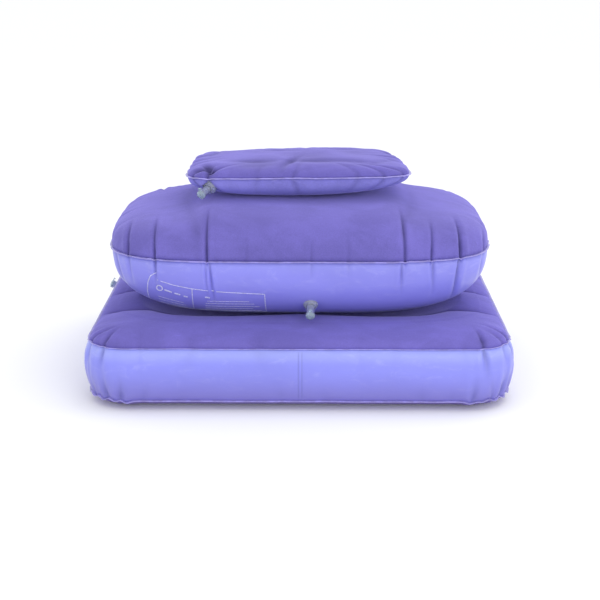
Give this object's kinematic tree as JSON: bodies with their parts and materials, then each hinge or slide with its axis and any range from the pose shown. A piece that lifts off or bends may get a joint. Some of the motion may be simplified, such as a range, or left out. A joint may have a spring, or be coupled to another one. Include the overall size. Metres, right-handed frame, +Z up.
{
  "type": "inflatable wobble cushion",
  "caption": "Stack of inflatable flocked cushions: a flat channelled base pad, a crowned seat that rocks on it and a small loose pillow, each with a push-in air valve.",
  "frame": {"origin": "middle of the base pad at the floor face", "axes": "+X is the width, +Y points to the back, +Z is up"},
  "size_m": [0.5325, 0.4158, 0.271],
  "materials": {
    "flocked_pvc": "flocked, soft matt",
    "vinyl": "satin",
    "bottom_vinyl": "satin",
    "clear_pvc": "clear, glossy",
    "plug_pvc": "clear, pale blue-green"
  },
  "bodies": {
    "base": {"base_bottom_panel": "bottom_vinyl", "base_side_wall": "vinyl", "base_wall_lap": "vinyl", "base_top_panel": "flocked_pvc", "base_baffle_front": "vinyl", "base_baffle_middle": "vinyl", "base_baffle_back": "vinyl", "base_valve_collar": "clear_pvc"},
    "seat": {"seat_bottom_panel": "vinyl", "seat_top_panel": "flocked_pvc", "seat_web_left": "vinyl", "seat_web_right": "vinyl", "seat_valve_collar": "clear_pvc"},
    "pillow": {"pillow_bottom_panel": "flocked_pvc", "pillow_top_panel": "flocked_pvc", "pillow_valve_collar": "clear_pvc"},
    "base_valve_stem": {"base_valve_stem": "clear_pvc"},
    "base_valve_flap": {"base_valve_flap": "clear_pvc"},
    "base_valve_plug": {"base_valve_plug": "plug_pvc", "base_valve_pull_tab": "plug_pvc"},
    "seat_valve_stem": {"seat_valve_stem": "clear_pvc"},
    "seat_valve_flap": {"seat_valve_flap": "clear_pvc"},
    "seat_valve_plug": {"seat_valve_plug": "plug_pvc", "seat_valve_pull_tab": "plug_pvc"},
    "pillow_valve_stem": {"pillow_valve_stem": "clear_pvc"},
    "pillow_valve_flap": {"pillow_valve_flap": "clear_pvc"},
    "pillow_valve_plug": {"pillow_valve_plug": "plug_pvc", "pillow_valve_pull_tab": "plug_pvc"}
  },
  "joints": [
    {"name": "seat_wobble", "type": "hinge", "parent": "base", "child": "seat", "pos_m": [0, 0, 0.081], "axis": [0, 1, 0], "range_deg": [-4, 4], "stiffness_Nm_per_rad": 5},
    {"name": "pillow_lift", "type": "slide", "parent": "seat", "child": "pillow", "axis": [0, 0, 1], "range_m": [0, 0.1]},
    {"name": "base_valve_push", "type": "slide", "parent": "base", "child": "base_valve_stem", "axis": [0.9272, 0, -0.3746], "range_m": [-0.008, 0.004]},
    {"name": "base_valve_flap_swing", "type": "hinge", "parent": "base_valve_stem", "child": "base_valve_flap", "pos_m": [-0.24879, 0.127, 0.0498], "axis": [0, 1, 0], "range_deg": [0, 40], "stiffness_Nm_per_rad": 0.0005},
    {"name": "base_valve_plug_pull", "type": "slide", "parent": "base_valve_stem", "child": "base_valve_plug", "axis": [-0.9272, 0, 0.3746], "range_m": [0, 0.008]},
    {"name": "seat_valve_push", "type": "slide", "parent": "seat", "child": "seat_valve_stem", "axis": [0, 0.8829, 0.4695], "range_m": [0, 0.012]},
    {"name": "seat_valve_flap_swing", "type": "hinge", "parent": "seat_valve_stem", "child": "seat_valve_flap", "pos_m": [0.016, -0.13479, 0.11194], "axis": [-1, 0, 0], "range_deg": [0, 40], "stiffness_Nm_per_rad": 0.0005},
    {"name": "seat_valve_plug_pull", "type": "slide", "parent": "seat_valve_stem", "child": "seat_valve_plug", "axis": [0, -0.8829, -0.4695], "range_m": [0, 0.008]},
    {"name": "pillow_valve_push", "type": "slide", "parent": "pillow", "child": "pillow_valve_stem", "axis": [0.4698, 0.8138, 0.342], "range_m": [0, 0.012]},
    {"name": "pillow_valve_flap_swing", "type": "hinge", "parent": "pillow_valve_stem", "child": "pillow_valve_flap", "pos_m": [-0.10711, -0.06293, 0.23981], "axis": [-0.866, 0.5, 0], "range_deg": [0, 40], "stiffness_Nm_per_rad": 0.0005},
    {"name": "pillow_valve_plug_pull", "type": "slide", "parent": "pillow_valve_stem", "child": "pillow_valve_plug", "axis": [-0.4698, -0.8138, -0.342], "range_m": [0, 0.008]}
  ]
}
